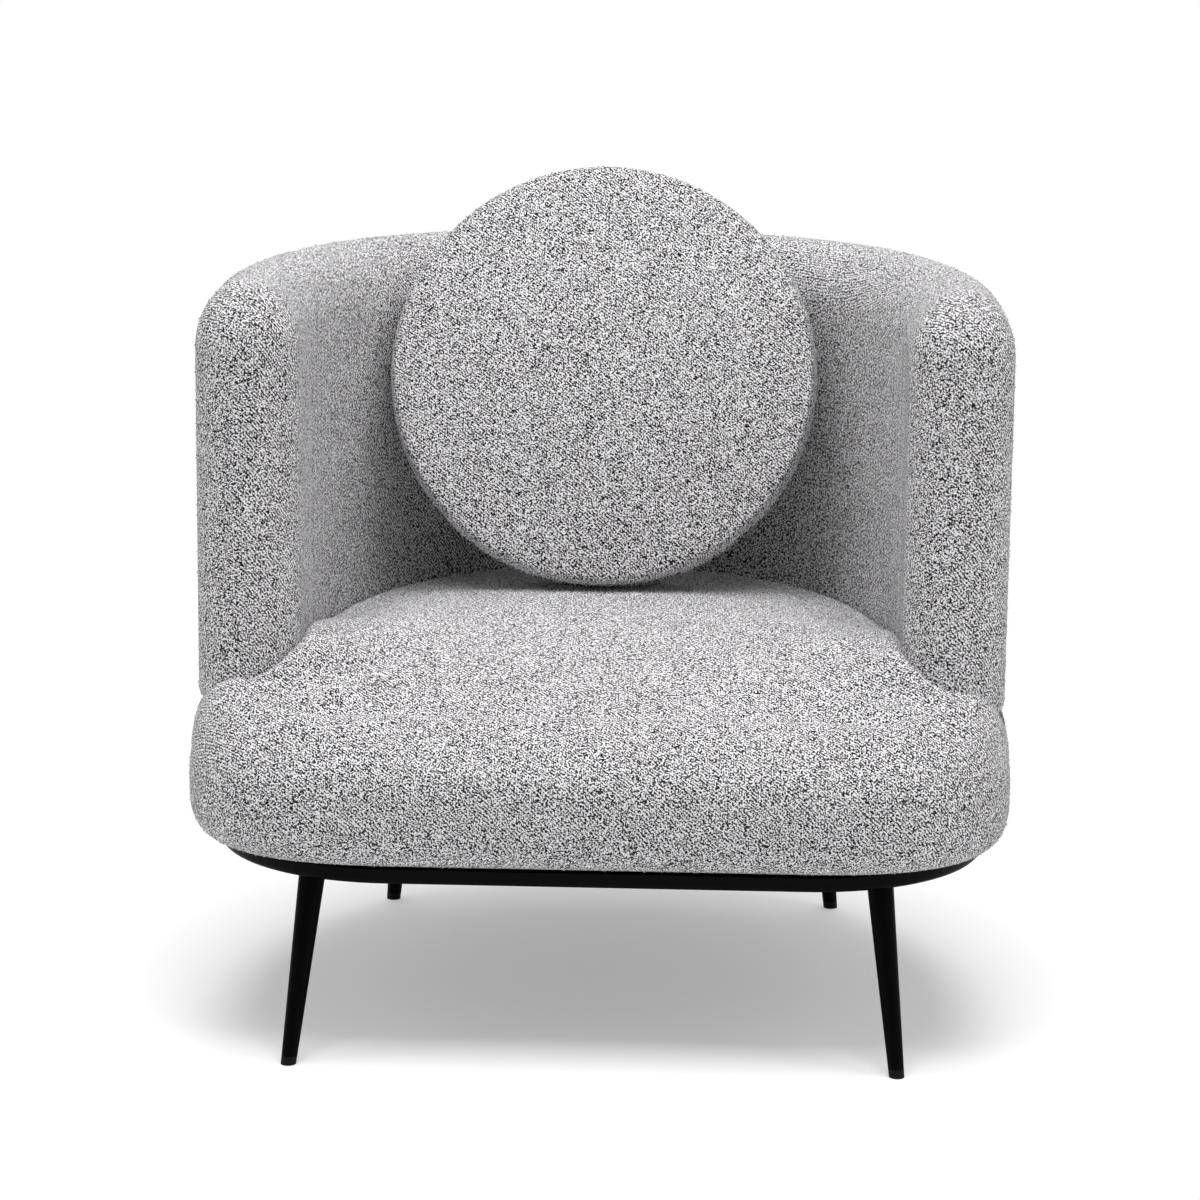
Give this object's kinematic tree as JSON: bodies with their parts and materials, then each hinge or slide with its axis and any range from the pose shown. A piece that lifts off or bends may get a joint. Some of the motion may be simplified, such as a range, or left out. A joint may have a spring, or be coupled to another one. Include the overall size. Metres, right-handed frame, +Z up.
{
  "type": "tub chair",
  "caption": "Upholstered tub chair with a curved one-piece back and arms, a wide rounded seat, a loose round back cushion, a plinth board and slim splayed legs.",
  "frame": {"origin": "on the floor, under the middle of the chair's outer width and depth", "axes": "+Z up, front of the chair towards -Y, +X to the right as seen from the front"},
  "size_m": [0.808, 0.642, 0.8298],
  "materials": {
    "leg_steel": "satin black powder coat",
    "glide_plastic": "moulded black nylon",
    "zinc_steel": "zinc plated",
    "insert_brass": "turned brass",
    "plinth_paint": "semi-gloss black lacquer on board",
    "rail_wood": "bent beech plywood, bare",
    "block_wood": "sawn hardwood, bare",
    "plywood": "cut plywood, bare",
    "hardboard": "bent hardboard, bare",
    "spring_steel": "drawn spring wire",
    "felt": "needled felt",
    "foam": "open-cell foam",
    "boucle": "salt and pepper grey boucle",
    "zip_cloth": "woven zip tape with a coil",
    "zip_metal": "grey lacquered zinc"
  },
  "bodies": {
    "chair": {"leg_front_left": "leg_steel", "leg_front_right": "leg_steel", "leg_rear_left": "leg_steel", "leg_rear_right": "leg_steel", "foot_glides": "glide_plastic", "leg_studs": "zinc_steel", "leg_inserts": "insert_brass", "plinth": "plinth_paint", "plinth_screws": "zinc_steel", "front_rail": "rail_wood", "corner_rail_left": "rail_wood", "corner_rail_right": "rail_wood", "side_rail_left": "rail_wood", "side_rail_right": "rail_wood", "back_rail": "rail_wood", "joint_blocks": "block_wood", "arm_blocks": "block_wood", "spring_rail": "rail_wood", "seat_springs": "spring_steel", "spring_clips": "zinc_steel", "spring_pad": "felt", "seat_foam": "foam", "border_foam": "foam", "seat_cover": "boucle", "tub_base_plate": "plywood", "tub_top_plate": "plywood", "tub_posts": "block_wood", "arm_posts": "block_wood", "tub_inner_board": "hardboard", "tub_outer_board": "hardboard", "tub_padding": "foam", "tub_cover": "boucle", "tub_bolts": "zinc_steel", "tub_washers": "zinc_steel"},
    "round_cushion": {"disc_insert": "foam", "disc_cover": "boucle", "zip_tape": "zip_cloth"},
    "zip_pull": {"zip_slider": "zip_metal"}
  },
  "joints": [
    {"name": "cushion_lift", "type": "slide", "parent": "chair", "child": "round_cushion", "axis": [0, 0, 1], "range_m": [0, 0.45]},
    {"name": "zip_travel", "type": "hinge", "parent": "round_cushion", "child": "zip_pull", "pos_m": [-0.009, 0.08109, 0.61898], "axis": [0, -0.9397, 0.342], "range_deg": [0, 97]}
  ]
}
